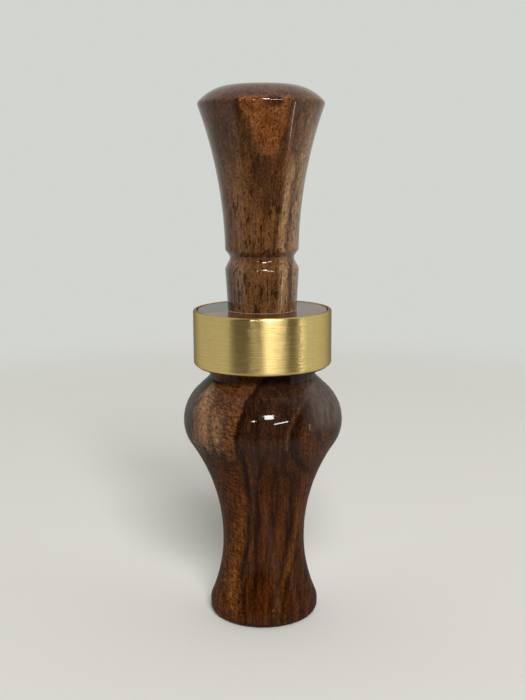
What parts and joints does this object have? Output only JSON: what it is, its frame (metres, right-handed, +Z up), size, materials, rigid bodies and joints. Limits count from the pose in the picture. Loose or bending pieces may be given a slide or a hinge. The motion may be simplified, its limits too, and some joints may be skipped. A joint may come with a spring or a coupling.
{
  "type": "bird call",
  "caption": "Turned wooden duck call on its mouthpiece: brass-banded barrel, flared pull-out insert with lanyard groove, seal rings, tone board, reeds and cork wedge.",
  "frame": {"origin": "centre of the mouthpiece's foot, on the surface that the call stands on", "axes": "+Z up the call's turning axis, towards the exhaust end of the insert; -Y is the side shown in the picture, which the reeds face"},
  "size_m": [0.0368, 0.0368, 0.1225],
  "materials": {
    "barrel_wood": "dark striped hardwood under a high-gloss clear finish",
    "insert_wood": "medium brown, pored hardwood under a high-gloss clear finish",
    "band_brass": "satin brass, brushed round the band",
    "ring_rubber": "black nitrile rubber, lightly greased",
    "tone_board_acetal": "machined ivory acetal, satin",
    "reed_film": "translucent polyester film",
    "cork": "cut natural cork"
  },
  "bodies": {
    "barrel": {"barrel": "barrel_wood", "band": "band_brass"},
    "seal_rings": {"o_ring_upper": "ring_rubber", "o_ring_lower": "ring_rubber"},
    "insert": {"insert": "insert_wood", "tone_board": "tone_board_acetal", "cork_wedge": "cork"},
    "long_reed": {"long_reed": "reed_film"},
    "short_reed": {"short_reed": "reed_film"}
  },
  "joints": [
    {"name": "insert_pull", "type": "slide", "parent": "barrel", "child": "seal_rings", "axis": [0, 0, 1], "range_m": [0, 0.06]},
    {"name": "insert_turn", "type": "hinge", "parent": "seal_rings", "child": "insert", "pos_m": [0, 0, 0.0643], "axis": [0, 0, 1], "continuous": true},
    {"name": "long_reed_flex", "type": "hinge", "parent": "insert", "child": "long_reed", "pos_m": [0, -0.0006, 0.0422], "axis": [1, 0, 0], "range_deg": [-3, 2.7], "stiffness_Nm_per_rad": 0.006, "deforming": ["long_reed"]},
    {"name": "short_reed_flex", "type": "hinge", "parent": "insert", "child": "short_reed", "pos_m": [0, -0.0006, 0.0422], "axis": [1, 0, 0], "range_deg": [-3, 2.7], "stiffness_Nm_per_rad": 0.006, "deforming": ["short_reed"]}
  ],
  "couplings": [
    {"joint": "short_reed_flex", "follows": "long_reed_flex", "ratio": 1}
  ]
}
